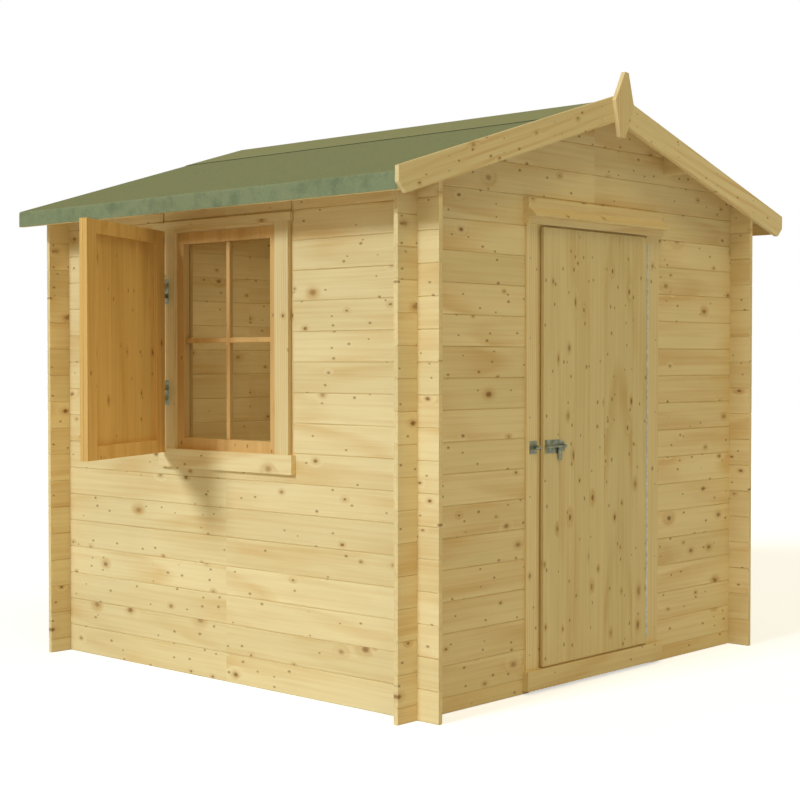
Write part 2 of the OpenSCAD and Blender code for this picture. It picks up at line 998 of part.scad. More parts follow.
module shutter_hinges_fixed() {
    color(ZINC)
        from_corner()
            for (z = shutter_hinge_z)
                union() {
                    translate([shutter_axis_x, shutter_axis_y, 0])
                        barrel(z, 5, shutter_knuckle, shutter_barrel_r, 1.8, true);
                    translate([shutter_axis_x, shutter_axis_y, z])
                        cylinder(h = shutter_hinge_l, r = 2);
                    translate([shutter_plate_x, shutter_axis_y - 3, z])
                        cube([1.5, 35, shutter_hinge_l]);
                    for (k = [1, 3])
                        translate([shutter_axis_x + 2.4, shutter_axis_y - 1.5,
                            z + k * shutter_knuckle + 0.3])
                            cube([shutter_plate_x + 0.5 - shutter_axis_x - 2.4, 3,
                                shutter_knuckle - 0.6]);
                }
}

module shutter_hinges_moving() {
    color(ZINC)
        from_corner()
            swung_open()
                for (z = shutter_hinge_z)
                    union() {
                        translate([shutter_axis_x, shutter_axis_y, 0])
                            barrel(z, 5, shutter_knuckle, shutter_barrel_r,
                                2 + run_gap, false);
                        translate([shutter_axis_x - 14, shutter_axis_y - shutter_edge, z])
                            cube([20, 1.2, shutter_hinge_l]);
                        for (k = [0, 2, 4])
                            translate([shutter_axis_x - 1, shutter_axis_y - shutter_edge,
                                z + k * shutter_knuckle + 0.3])
                                cube([2, shutter_edge - 2.6, shutter_knuckle - 0.6]);
                    }
}

left_wall_lower();
left_wall_front();
left_wall_back();
left_wall_header();
right_wall();
back_wall();
back_gable();
front_wall_left();
front_wall_right();
front_gable();
floor_bearers();
floor_boards();
purlins();
roof_boards_left();
roof_boards_right();
eaves_battens();
felt_left();
felt_right();
ridge_strip();
bargeboard_left();
bargeboard_right();
finial();
door_jambs();
door_head_rail();
door_trims();
door_head_board();
drip_moulding();
threshold();
door_leaf();
door_ledges();
door_hinge_fixed();
door_hinge_moving();
bolt_keep();
bolt_body();
bolt_rod();
window_posts();
window_frame();
window_glass();
window_trims();
window_head_trim();
window_sill_trim();
shutter_boards();
shutter_frame();
shutter_hinges_fixed();
shutter_hinges_moving();
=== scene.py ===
# %% [markdown]
# # A log cabin, from its frame to its finish
# The CAD model is the frame: it already holds every log, trim, hinge and
# bolt at its real size and place. This lesson gives those pieces their
# wood, felt, zinc and glass, and adds what CAD leaves out: single boards,
# glazing bars, nails and screws.

# %% Load the frame
import json
import math

import bpy
from mathutils import Matrix, Vector


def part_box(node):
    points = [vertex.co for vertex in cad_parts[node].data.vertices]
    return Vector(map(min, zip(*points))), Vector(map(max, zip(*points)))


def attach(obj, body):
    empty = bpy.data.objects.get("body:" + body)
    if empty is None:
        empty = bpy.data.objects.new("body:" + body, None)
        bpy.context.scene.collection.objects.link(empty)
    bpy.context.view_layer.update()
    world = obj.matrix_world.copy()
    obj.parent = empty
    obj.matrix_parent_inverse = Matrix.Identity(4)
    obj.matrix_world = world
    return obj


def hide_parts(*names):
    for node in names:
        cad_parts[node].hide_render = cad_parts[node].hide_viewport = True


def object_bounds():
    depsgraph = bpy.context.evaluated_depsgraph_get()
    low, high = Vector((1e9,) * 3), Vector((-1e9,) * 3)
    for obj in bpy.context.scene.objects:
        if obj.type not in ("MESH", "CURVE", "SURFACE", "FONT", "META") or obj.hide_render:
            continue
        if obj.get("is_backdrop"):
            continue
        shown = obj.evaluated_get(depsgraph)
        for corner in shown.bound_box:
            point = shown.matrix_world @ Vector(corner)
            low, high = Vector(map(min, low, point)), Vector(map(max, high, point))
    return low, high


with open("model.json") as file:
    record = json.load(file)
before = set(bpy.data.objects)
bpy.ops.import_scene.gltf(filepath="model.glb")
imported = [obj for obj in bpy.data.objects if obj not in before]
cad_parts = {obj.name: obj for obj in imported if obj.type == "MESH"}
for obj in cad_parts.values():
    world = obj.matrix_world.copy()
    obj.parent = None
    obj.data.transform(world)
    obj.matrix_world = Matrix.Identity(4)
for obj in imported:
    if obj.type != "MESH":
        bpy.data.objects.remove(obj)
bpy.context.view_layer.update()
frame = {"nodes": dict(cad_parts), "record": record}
nodes = frame["nodes"]
joint_at = {j["name"]: j for j in frame["record"]["behaviour"]["joints"]}

# %% [markdown]
# ## The camera
# A cabin is judged from one corner, with two walls in view. The camera
# stands at chest height on the front left, a few metres off, and its lens
# is a mild telephoto, so that the upright lines stay upright.

# %% Camera
HEADING = math.radians(47.391)
DIP = math.radians(1.359)
camera_data = bpy.data.cameras.new("camera")
camera_data.lens = 71.107
camera_data.sensor_width = 36.0
camera_data.shift_x = 0.0034
camera_data.clip_end = 100.0
camera = bpy.data.objects.new("camera", camera_data)
bpy.context.scene.collection.objects.link(camera)
camera.location = (-5.1429, -4.6956, 1.2531)
ahead = Vector((
    math.sin(HEADING) * math.cos(DIP),
    math.cos(HEADING) * math.cos(DIP),
    -math.sin(DIP),
))
camera.rotation_mode = "QUATERNION"
camera.rotation_quaternion = ahead.to_track_quat("-Z", "Y")
bpy.context.scene.camera = camera
print("camera at", tuple(camera.location))

# %% [markdown]
# ## Light
# Soft daylight falls on the window wall from a low angle, and a weaker,
# warmer lamp comes over the front wall from higher up. Each is a sun with a
# wide disc, which gives soft edges to the shadows under the eaves. A disc
# lamp in the room shows its back wall through the panes, and the camera and
# the glass don't see the lamp itself. The world fills the rest at a plain
# level.

# %% World and lamps
scene = bpy.context.scene
scene.view_settings.view_transform = "Standard"


def linear(text):
    """A colour written as sRGB hex, as the linear RGBA that shaders take."""
    parts = [int(text[i:i + 2], 16) / 255 for i in (0, 2, 4)]
    return (*[p / 12.92 if p <= 0.04045 else ((p + 0.055) / 1.055) ** 2.4
              for p in parts], 1.0)


def add_node(tree, kind, inputs=None, **settings):
    """Adds a shader node, sets it up, and fills its inputs or links them.

    An input is a number, a colour, a socket, or a node's first output.
    """
    made = tree.nodes.new(kind)
    for key, value in settings.items():
        setattr(made, key, value)
    for key, value in (inputs or {}).items():
        if isinstance(value, bpy.types.Node):
            value = value.outputs[0]
        if isinstance(value, bpy.types.NodeSocket):
            tree.links.new(value, made.inputs[key])
        else:
            made.inputs[key].default_value = value
    return made


world = bpy.data.worlds.new("daylight")
scene.world = world
world.use_nodes = True
world.node_tree.nodes.clear()
path = add_node(world.node_tree, "ShaderNodeLightPath")
seen = add_node(world.node_tree, "ShaderNodeMath", {
    0: path.outputs["Is Camera Ray"], 1: path.outputs["Is Transmission Ray"]},
    operation="MAXIMUM")
fill = add_node(world.node_tree, "ShaderNodeBackground", {
    "Color": linear("fff0c2"), "Strength": 0.355})
backdrop = add_node(world.node_tree, "ShaderNodeBackground", {
    "Color": linear("ffffff"), "Strength": 1.0})
both = add_node(world.node_tree, "ShaderNodeMixShader", {
    0: seen.outputs[0], 1: fill.outputs[0], 2: backdrop.outputs[0]})
add_node(world.node_tree, "ShaderNodeOutputWorld", {"Surface": both.outputs[0]})


def sun(name, towards, power, spread, colour):
    """A far lamp that shines along towards, with a disc spread degrees wide."""
    data = bpy.data.lights.new(name, "SUN")
    data.energy = power
    data.angle = math.radians(spread)
    data.color = linear(colour)[:3]
    lamp = bpy.data.objects.new(name, data)
    scene.collection.objects.link(lamp)
    lamp.rotation_mode = "QUATERNION"
    lamp.rotation_quaternion = Vector(towards).to_track_quat("-Z", "Y")
    return lamp


sun("daylight_key", (0.90, -0.03, -0.46), 1.82, 14, "ebf7ff")
sun("daylight_front", (0.30, 0.72, -1.20), 0.74, 24, "ffedbc")
room_data = bpy.data.lights.new("room_light", "AREA")
room_data.shape = "DISK"
room_data.size = 1.2
room_data.energy = 6.4
room_data.color = linear("fff2d8")[:3]
room_lamp = bpy.data.objects.new("room_light", room_data)
scene.collection.objects.link(room_lamp)
room_lamp.location = (-0.1, 0.0, 1.9)
room_lamp.visible_camera = False
room_lamp.visible_glossy = False
room_lamp.visible_transmission = False
print("three lamps and the world are set")

# %% [markdown]
# ## Floor
# The cabin stands on plain pale ground. A little light of its own, for the
# camera only, keeps it near white, while the cabin's shadow still shows.

# %% Floor
bpy.ops.object.select_all(action="DESELECT")
bpy.ops.mesh.primitive_plane_add(size=60, location=(0, 0, -0.0005))
floor = bpy.context.active_object
floor.name = "studio_floor"
floor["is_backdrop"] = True
floor_finish = bpy.data.materials.new("pale_floor")
floor_finish.use_nodes = True
tree = floor_finish.node_tree
tree.nodes.clear()
path = add_node(tree, "ShaderNodeLightPath")
matt = add_node(tree, "ShaderNodeBsdfDiffuse", {"Color": linear("e2e5ea")})
lift = add_node(tree, "ShaderNodeMath", {
    0: path.outputs["Is Camera Ray"], 1: 0.56}, operation="MULTIPLY")
own = add_node(tree, "ShaderNodeEmission", {
    "Color": linear("ffffff"), "Strength": lift.outputs[0]})
total = add_node(tree, "ShaderNodeAddShader", {0: matt.outputs[0], 1: own.outputs[0]})
add_node(tree, "ShaderNodeOutputMaterial", {"Surface": total.outputs[0]})
floor.data.materials.append(floor_finish)
print("floor", tuple(round(v, 2) for v in floor.dimensions))

# %% [markdown]
# ## Pine
# Planed pine is pale earlywood crossed by amber latewood rings, with small
# brown knots. A board is cut out of a round trunk, so the honest way to
# draw it is a solid pattern: rings round a pith line that runs at a slight
# slant below the board. Faces then show long flames, edges show straight
# lines and the sawn ends show arcs, all from one pattern. Each board picks
# its own pith line and tone from its number. Rings are 2 to 4 mm apart on
# the real tree and are drawn 8.5 mm apart here, so that they show.

# %% Pine pattern
MATH = "ShaderNodeMath"
RING = 0.0085         # metres from ring to ring
KNOT_CELL = 0.165     # metres from one place for a knot to the next
KNOT_LONG = 1.35      # the places lie further apart along the board
KNOT_WIDE = 0.82      # and closer across it
PINS = 2.6            # places for pin knots, for each place for a knot
HALO = "b8843a"       # amber wood round a knot


def pine(name, along, across, depth, width, start=0.0, pale="ead6a4", ring="cfa45e",
         knot="7c4a14", knots=0.6, tone=0.5, cut_at=None, seed=0.0):
    """Pine with its grain along one axis, in boards of one width across."""
    finish = bpy.data.materials.new(name)
    finish.use_nodes = True
    tree = finish.node_tree
    tree.nodes.clear()

    place = add_node(tree, "ShaderNodeTexCoord").outputs["Object"]
    u, v, w = [
        add_node(tree, "ShaderNodeVectorMath", {0: place, 1: axis},
                 operation="DOT_PRODUCT").outputs["Value"]
        for axis in (along, across, depth)
    ]
    # A board's number and the seed pick its lot, and past cut_at along the
    # grain a new board starts.
    number = add_node(tree, MATH, {
        0: add_node(tree, MATH, {
            0: add_node(tree, MATH, {0: v, 1: start}, operation="SUBTRACT"),
            1: width,
        }, operation="DIVIDE"),
    }, operation="FLOOR")
    key = add_node(tree, MATH, {
        0: add_node(tree, MATH, {0: number, 1: 3.17}, operation="MULTIPLY"),
        1: seed,
    }, operation="ADD")
    if cut_at is not None:
        key = add_node(tree, MATH, {
            0: key,
            1: add_node(tree, MATH, {
                0: add_node(tree, MATH, {0: u, 1: cut_at}, operation="GREATER_THAN"),
                1: 41.3,
            }, operation="MULTIPLY"),
        }, operation="ADD")
    lot = add_node(tree, "ShaderNodeTexWhiteNoise", {
        "W": key,
    }, noise_dimensions="1D").outputs["Color"]
    one, two, three = add_node(tree, "ShaderNodeSeparateColor", {0: lot}).outputs[:3]

    # Knots: cells along and across the board, some of which hold a knot.
    spot_u = add_node(tree, MATH, {
        0: add_node(tree, MATH, {0: u, 1: KNOT_CELL * KNOT_LONG}, operation="DIVIDE"),
        1: add_node(tree, MATH, {0: one, 1: 71.0}, operation="MULTIPLY"),
    }, operation="ADD")
    spot_v = add_node(tree, MATH, {
        0: add_node(tree, MATH, {0: v, 1: KNOT_CELL * KNOT_WIDE}, operation="DIVIDE"),
        1: add_node(tree, MATH, {0: two, 1: 57.0}, operation="MULTIPLY"),
    }, operation="ADD")
    spot = add_node(tree, "ShaderNodeCombineXYZ", {0: spot_u, 1: spot_v}).outputs[0]
    cells = add_node(tree, "ShaderNodeTexVoronoi", {
        "Vector": spot,
        "Scale": 1.0,
        "Randomness": 0.95,
    }, voronoi_dimensions="2D")
    c_one, c_two, c_three = add_node(tree, "ShaderNodeSeparateColor", {
        0: cells.outputs["Color"],
    }).outputs[:3]
    ragged = add_node(tree, "ShaderNodeTexNoise", {
        "Vector": spot,
        "Scale": 22.0,
        "Detail": 2.0,
    }).outputs[0]
    far = add_node(tree, MATH, {0: cells.outputs["Distance"], 1: KNOT_CELL}, operation="MULTIPLY")
    far = add_node(tree, MATH, {
        0: far,
        1: add_node(tree, MATH, {
            0: add_node(tree, MATH, {0: ragged, 1: 0.5}, operation="SUBTRACT"),
            1: 0.008,
        }, operation="MULTIPLY"),
    }, operation="ADD")
    has = add_node(tree, MATH, {0: c_one, 1: knots}, operation="LESS_THAN")
    radius = add_node(tree, MATH, {
        0: add_node(tree, MATH, {
            0: add_node(tree, MATH, {0: c_two, 1: 2.6}, operation="POWER"),
            1: 0.008,
        }, operation="MULTIPLY"),
        1: 0.005,
    }, operation="ADD")
    near = add_node(tree, MATH, {0: far, 1: radius}, operation="DIVIDE")
    inside = add_node(tree, "ShaderNodeMapRange", {
        "Value": near,
        "From Min": 0.55,
        "From Max": 1.3,
        "To Min": 1.0,
        "To Max": 0.0,
    }).outputs[0]
    inside = add_node(tree, MATH, {
        0: inside,
        1: add_node(tree, MATH, {
            0: 0.45,
            1: add_node(tree, MATH, {0: c_three, 1: 0.55}, operation="MULTIPLY"),
        }, operation="ADD"),
    }, operation="MULTIPLY")
    knot_mask = add_node(tree, MATH, {0: inside, 1: has}, operation="MULTIPLY")
    halo = add_node(tree, "ShaderNodeMapRange", {
        "Value": near,
        "From Min": 0.6,
        "From Max": 4.6,
        "To Min": 1.0,
        "To Max": 0.0,
    }, interpolation_type="SMOOTHSTEP").outputs[0]
    halo = add_node(tree, MATH, {0: halo, 1: has}, operation="MULTIPLY")

    # Pin knots are small and come in loose groups.
    pins = add_node(tree, "ShaderNodeTexVoronoi", {
        "Vector": spot,
        "Scale": PINS,
        "Randomness": 1.0,
    }, voronoi_dimensions="2D")
    p_one, p_two, _ = add_node(tree, "ShaderNodeSeparateColor", {
        0: pins.outputs["Color"],
    }).outputs[:3]
    flock = add_node(tree, "ShaderNodeTexNoise", {
        "Vector": spot,
        "Scale": 0.9,
        "Detail": 1.0,
    }).outputs[0]
    pin_far = add_node(tree, MATH, {
        0: pins.outputs["Distance"],
        1: KNOT_CELL / PINS,
    }, operation="MULTIPLY")
    pin_near = add_node(tree, MATH, {
        0: pin_far,
        1: add_node(tree, MATH, {
            0: 0.003,
            1: add_node(tree, MATH, {0: p_two, 1: 0.003}, operation="MULTIPLY"),
        }, operation="ADD"),
    }, operation="DIVIDE")
    pin = add_node(tree, "ShaderNodeMapRange", {
        "Value": pin_near,
        "From Min": 0.5,
        "From Max": 1.5,
        "To Min": 0.78,
        "To Max": 0.0,
    }).outputs[0]
    pin = add_node(tree, MATH, {
        0: pin,
        1: add_node(tree, MATH, {
            0: p_one,
            1: add_node(tree, MATH, {0: flock, 1: knots * 0.85}, operation="MULTIPLY"),
        }, operation="LESS_THAN"),
    }, operation="MULTIPLY")
    knot_mask = add_node(tree, MATH, {0: knot_mask, 1: pin}, operation="MAXIMUM")

    # Rings round a slanting pith line, which wanders and bows round knots.
    soft = add_node(tree, "ShaderNodeCombineXYZ", {
        0: add_node(tree, MATH, {0: u, 1: 1.3}, operation="MULTIPLY"),
        1: add_node(tree, MATH, {0: v, 1: 7.0}, operation="MULTIPLY"),
        2: add_node(tree, MATH, {
            0: add_node(tree, MATH, {0: w, 1: 7.0}, operation="MULTIPLY"),
            1: add_node(tree, MATH, {0: three, 1: 31.0}, operation="MULTIPLY"),
        }, operation="ADD"),
    }).outputs[0]
    wander = add_node(tree, "ShaderNodeTexNoise", {
        "Vector": soft,
        "Scale": 1.0,
        "Detail": 2.0,
    }).outputs[0]
    pith_v = add_node(tree, MATH, {
        0: add_node(tree, MATH, {0: number, 1: 0.5}, operation="ADD"),
        1: width,
    }, operation="MULTIPLY")
    pith_v = add_node(tree, MATH, {0: pith_v, 1: start}, operation="ADD")
    off_v = add_node(tree, MATH, {
        0: add_node(tree, MATH, {0: v, 1: pith_v}, operation="SUBTRACT"),
        1: add_node(tree, MATH, {
            0: add_node(tree, MATH, {0: two, 1: 0.5}, operation="SUBTRACT"),
            1: 0.1,
        }, operation="MULTIPLY"),
    }, operation="ADD")
    slant = add_node(tree, MATH, {
        0: add_node(tree, MATH, {0: three, 1: 0.5}, operation="SUBTRACT"),
        1: 0.03,
    }, operation="MULTIPLY")
    off_w = add_node(tree, MATH, {
        0: add_node(tree, MATH, {
            0: add_node(tree, MATH, {0: one, 1: 0.09}, operation="MULTIPLY"),
            1: 0.03,
        }, operation="ADD"),
        1: add_node(tree, MATH, {
            0: w,
            1: add_node(tree, MATH, {0: u, 1: slant}, operation="MULTIPLY"),
        }, operation="ADD"),
    }, operation="ADD")
    off_v = add_node(tree, MATH, {
        0: off_v,
        1: add_node(tree, MATH, {
            0: add_node(tree, MATH, {0: wander, 1: 0.5}, operation="SUBTRACT"),
            1: 0.035,
        }, operation="MULTIPLY"),
    }, operation="ADD")
    radial = add_node(tree, MATH, {
        0: add_node(tree, MATH, {
            0: add_node(tree, MATH, {0: off_v, 1: off_v}, operation="MULTIPLY"),
            1: add_node(tree, MATH, {0: off_w, 1: off_w}, operation="MULTIPLY"),
        }, operation="ADD"),
    }, operation="SQRT")
    radial = add_node(tree, MATH, {
        0: radial,
        1: add_node(tree, MATH, {0: halo, 1: 0.005}, operation="MULTIPLY"),
    }, operation="ADD")
    turn = add_node(tree, MATH, {
        0: add_node(tree, MATH, {0: radial, 1: RING}, operation="DIVIDE"),
    }, operation="FRACT")
    rise = add_node(tree, "ShaderNodeMapRange", {
        "Value": turn,
        "From Min": 0.35,
        "From Max": 0.82,
    }, interpolation_type="SMOOTHSTEP").outputs[0]
    fall = add_node(tree, "ShaderNodeMapRange", {
        "Value": turn,
        "From Min": 0.84,
        "From Max": 1.0,
        "To Min": 1.0,
        "To Max": 0.0,
    }).outputs[0]
    late = add_node(tree, MATH, {0: rise, 1: fall}, operation="MULTIPLY")
    fine = add_node(tree, "ShaderNodeCombineXYZ", {
        0: add_node(tree, MATH, {0: u, 1: 4.0}, operation="MULTIPLY"),
        1: add_node(tree, MATH, {0: v, 1: 260.0}, operation="MULTIPLY"),
        2: add_node(tree, MATH, {0: w, 1: 260.0}, operation="MULTIPLY"),
    }).outputs[0]
    fibre = add_node(tree, "ShaderNodeTexNoise", {
        "Vector": fine,
        "Scale": 1.0,
        "Detail": 3.0,
    }).outputs[0]
    streaky = add_node(tree, "ShaderNodeCombineXYZ", {
        0: add_node(tree, MATH, {0: u, 1: 1.6}, operation="MULTIPLY"),
        1: add_node(tree, MATH, {0: v, 1: 75.0}, operation="MULTIPLY"),
        2: add_node(tree, MATH, {
            0: add_node(tree, MATH, {0: w, 1: 75.0}, operation="MULTIPLY"),
            1: key,
        }, operation="ADD"),
    }).outputs[0]
    streak = add_node(tree, "ShaderNodeTexNoise", {
        "Vector": streaky,
        "Scale": 1.0,
        "Detail": 2.0,
    }).outputs[0]
    patch_at = add_node(tree, "ShaderNodeCombineXYZ", {
        0: add_node(tree, MATH, {
            0: add_node(tree, MATH, {0: u, 1: 2.2}, operation="MULTIPLY"),
            1: add_node(tree, MATH, {0: one, 1: 9.0}, operation="MULTIPLY"),
        }, operation="ADD"),
        1: add_node(tree, MATH, {0: v, 1: 9.0}, operation="MULTIPLY"),
        2: key,
    }).outputs[0]
    patch = add_node(tree, "ShaderNodeTexNoise", {
        "Vector": patch_at,
        "Scale": 1.0,
        "Detail": 2.0,
    }).outputs[0]

    # Colour: pale wood, rings, board tone, halo and knot.
    strength = add_node(tree, "ShaderNodeMapRange", {
        "Value": patch,
        "From Min": 0.35,
        "From Max": 0.7,
        "To Min": 0.05,
        "To Max": 0.6,
    }).outputs[0]
    amount = add_node(tree, MATH, {0: late, 1: strength}, operation="MULTIPLY")
    amount = add_node(tree, MATH, {
        0: amount,
        1: add_node(tree, MATH, {
            0: add_node(tree, MATH, {0: fibre, 1: 0.5}, operation="SUBTRACT"),
            1: 0.32,
        }, operation="MULTIPLY"),
    }, operation="ADD")
    amount = add_node(tree, MATH, {
        0: amount,
        1: add_node(tree, MATH, {
            0: add_node(tree, MATH, {0: streak, 1: 0.42}, operation="SUBTRACT"),
            1: 0.7,
        }, operation="MULTIPLY"),
    }, operation="ADD")
    colour = add_node(tree, "ShaderNodeMix", {
        0: amount,
        6: linear(pale),
        7: linear(ring),
    }, data_type="RGBA")
    level = add_node(tree, MATH, {
        0: 1.0 - 0.1 * tone,
        1: add_node(tree, MATH, {0: three, 1: 0.2 * tone}, operation="MULTIPLY"),
    }, operation="ADD")
    level = add_node(tree, MATH, {
        0: level,
        1: add_node(tree, MATH, {
            0: 0.93,
            1: add_node(tree, MATH, {0: patch, 1: 0.14}, operation="MULTIPLY"),
        }, operation="ADD"),
    }, operation="MULTIPLY")
    grey = add_node(tree, "ShaderNodeCombineColor", {
        0: level,
        1: add_node(tree, MATH, {0: level, 1: 1.15}, operation="POWER"),
        2: add_node(tree, MATH, {0: level, 1: 1.6}, operation="POWER"),
    }).outputs[0]
    toned = add_node(tree, "ShaderNodeMix", {
        0: 1.0,
        6: colour.outputs[2],
        7: grey,
    }, data_type="RGBA", blend_type="MULTIPLY")
    ringed = add_node(tree, "ShaderNodeMix", {
        0: add_node(tree, MATH, {
            0: add_node(tree, MATH, {0: halo, 1: halo}, operation="MULTIPLY"),
            1: 0.34,
        }, operation="MULTIPLY"),
        6: toned.outputs[2],
        7: linear(HALO),
    }, data_type="RGBA")
    spotted = add_node(tree, "ShaderNodeMix", {
        0: add_node(tree, MATH, {0: knot_mask, 1: 0.86}, operation="MULTIPLY"),
        6: ringed.outputs[2],
        7: linear(knot),
    }, data_type="RGBA")

    height = add_node(tree, MATH, {
        0: add_node(tree, MATH, {0: fibre, 1: 0.5}, operation="MULTIPLY"),
        1: add_node(tree, MATH, {0: knot_mask, 1: 0.4}, operation="MULTIPLY"),
    }, operation="SUBTRACT")
    relief = add_node(tree, "ShaderNodeBump", {
        "Height": height,
        "Distance": 0.0006,
        "Strength": 0.5,
    })
    shader = add_node(tree, "ShaderNodeBsdfPrincipled", {
        "Base Color": spotted.outputs[2],
        "Roughness": 0.62,
        "IOR": 1.5,
        "Specular IOR Level": 0.3,
        "Normal": relief.outputs[0],
    })
    add_node(tree, "ShaderNodeOutputMaterial", {"Surface": shader.outputs[0]})
    return finish


def give(finish, *names):
    """Puts one finish on CAD nodes or pieces."""
    for name in names:
        owner = nodes[name] if name in nodes else bpy.data.objects[name]
        owner.data.materials.clear()
        owner.data.materials.append(finish)


X, Y, Z = (1, 0, 0), (0, 1, 0), (0, 0, 1)
COURSE = 0.114

# %% [markdown]
# ## Walls
# Side walls have whole logs from the ground up, and end walls start with
# half a log, so their boards count from different heights.

# %% Wall logs
side_pine = pine("planed_pine_side_logs", Y, Z, X, COURSE, cut_at=-0.02)
end_pine = pine("planed_pine_end_logs", X, Z, Y, COURSE, start=-COURSE / 2, cut_at=0.0, seed=5.0)
give(side_pine, "left_wall_lower", "left_wall_front", "left_wall_back", "left_wall_header",
     "right_wall")
give(end_pine, "back_wall", "back_gable", "front_wall_left", "front_wall_right", "front_gable")
print("logs: side and end pine,", len(end_pine.node_tree.nodes), "nodes each")

# %% [markdown]
# ## Trims and roof timber
# Trims, posts and roof timber are cut from the same pine, in cells wider
# than a log. Grain runs the way the piece does: up for posts and trims,
# along for rails and purlins, and with the slope for bargeboards.

# %% Trims and roof timber
upright_pine = pine("planed_pine_uprights", Z, (0.8, 0.6, 0), (0.6, -0.8, 0), 0.13, knots=0.3,
                    seed=11.0)
lying_pine = pine("planed_pine_rails_x", X, Z, Y, 0.2, knots=0.35, seed=13.0)
sill_pine = pine("planed_pine_rails_y", Y, Z, X, 0.2, knots=0.35, seed=17.0)
give(upright_pine, "door_jambs", "door_trims", "window_posts", "window_trims", "finial")
give(lying_pine, "door_head_rail", "door_head_board", "drip_moulding", "threshold",
     "floor_bearers")
give(sill_pine, "window_head_trim", "window_sill_trim", "purlins", "eaves_battens")
PITCH = math.radians(17)
left_rake = (math.cos(PITCH), 0, math.sin(PITCH))
right_rake = (-math.cos(PITCH), 0, math.sin(PITCH))
give(pine("planed_pine_left_rake", left_rake, (-math.sin(PITCH), 0, math.cos(PITCH)), Y, 0.6,
          start=-0.3, seed=23.0), "bargeboard_left")
give(pine("planed_pine_right_rake", right_rake, (math.sin(PITCH), 0, math.cos(PITCH)), Y, 0.6,
          start=-0.3, seed=29.0), "bargeboard_right")
print("roof pitch", round(math.degrees(PITCH), 1), "degrees")

# %% [markdown]
# ## Felt
# Roofing felt is a bitumen sheet covered in crushed green slate. The grit
# is a millimetre or so across and is drawn 5 mm wide, so that it shows as
# a speckle, over slow patches where the grit is thin.

# %% Felt
LAP_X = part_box("ridge_strip")[1].x + 0.006
felt = bpy.data.materials.new("green_mineral_felt")
felt.use_nodes = True
tree = felt.node_tree
tree.nodes.clear()
place = add_node(tree, "ShaderNodeTexCoord").outputs["Object"]
grit = add_node(tree, "ShaderNodeTexNoise", {"Vector": place, "Scale": 190.0, "Detail": 3.0,
                                             "Roughness": 0.7})
cloud = add_node(tree, "ShaderNodeTexNoise", {"Vector": place, "Scale": 7.0, "Detail": 4.0})
speck = add_node(tree, "ShaderNodeValToRGB", {0: grit.outputs[0]})
speck.color_ramp.elements[0].position = 0.30
speck.color_ramp.elements[0].color = linear("646e4f")
speck.color_ramp.elements[1].position = 0.72
speck.color_ramp.elements[1].color = linear("9a9f78")
worn = add_node(tree, "ShaderNodeMapRange", {0: cloud.outputs[0], 1: 0.35, 2: 0.7, 3: 0.0, 4: 0.35})
tint = add_node(tree, "ShaderNodeMix", {0: worn, 6: speck, 7: linear("8b8866")},
                data_type="RGBA")
# Painted shadow: a dark line on each slope along the edge of the ridge strip, standing in for the
# shade that the strip's edge throws.
parts = add_node(tree, "ShaderNodeSeparateXYZ", {0: place})
wave = add_node(tree, "ShaderNodeTexNoise", {"Vector": place, "Scale": 3.0, "Detail": 3.0})
side = add_node(tree, "ShaderNodeMath", {0: parts.outputs[0]}, operation="ABSOLUTE")
drift = add_node(tree, "ShaderNodeMath", {0: wave.outputs[0], 1: 0.012, 2: side.outputs[0]},
                 operation="MULTIPLY_ADD")
lap_shadow_line = add_node(tree, "ShaderNodeMath", {0: drift.outputs[0], 1: LAP_X, 2: 0.005},
               operation="COMPARE")
lap_shadow_part = add_node(tree, "ShaderNodeMath", {0: lap_shadow_line.outputs[0], 1: 0.8}, operation="MULTIPLY")
strip = add_node(tree, "ShaderNodeMath", {0: drift.outputs[0], 1: LAP_X}, operation="LESS_THAN")
strip_part = add_node(tree, "ShaderNodeMath", {0: strip.outputs[0], 1: 0.45}, operation="MULTIPLY")
# Painted shade: faces that turn steeply down are coloured greener, and darker in patches, standing
# in for the shade on the turned-down edges.
facing = add_node(tree, "ShaderNodeNewGeometry")
tilt = add_node(tree, "ShaderNodeSeparateXYZ", {0: facing.outputs["Normal"]})
turned_down_shade = add_node(tree, "ShaderNodeMapRange", {
    0: tilt.outputs[2], 1: 0.88, 2: 0.45, 3: 0.0, 4: 0.75})
shade_mottle_noise = add_node(tree, "ShaderNodeTexNoise", {"Vector": place, "Scale": 14.0, "Detail": 5.0,
                                            "Roughness": 0.65})
shade_mottle = add_node(tree, "ShaderNodeMapRange", {0: shade_mottle_noise.outputs[0], 1: 0.48, 2: 0.66, 3: 0.0, 4: 0.7})
turned_down_dark_patches = add_node(tree, "ShaderNodeMath", {0: turned_down_shade.outputs[0], 1: shade_mottle.outputs[0]},
                    operation="MULTIPLY")
coat = tint.outputs[2]
# Layers over the grit: the ridge strip's paler sheet, then painted shade on the turned-down faces,
# the dark patches on them, and the painted shadow line along the ridge strip.
for part, shade_hex in ((strip_part, "9c9a72"), (turned_down_shade, "858f70"), (turned_down_dark_patches, "5a6b55"),
                        (lap_shadow_part, "3d4634")):
    layer = add_node(tree, "ShaderNodeMix", {0: part, 6: coat, 7: linear(shade_hex)},
                     data_type="RGBA")
    coat = layer.outputs[2]
relief = add_node(tree, "ShaderNodeBump", {"Height": grit.outputs[0], "Distance": 0.002,
                                           "Strength": 0.6})
shader = add_node(tree, "ShaderNodeBsdfPrincipled", {
    "Base Color": coat, "Roughness": 0.95, "Specular IOR Level": 0.2,
    "Normal": relief.outputs[0]})
add_node(tree, "ShaderNodeOutputMaterial", {"Surface": shader.outputs[0]})
give(felt, "felt_left", "felt_right", "ridge_strip")
print("felt, with its lap", round(LAP_X, 3), "m from the ridge")

# %% [markdown]
# ## Zinc
# The hinges and the bolt are zinc-plated steel, which weathers to a soft
# grey with paler blooms. A slow noise drives the two tones.

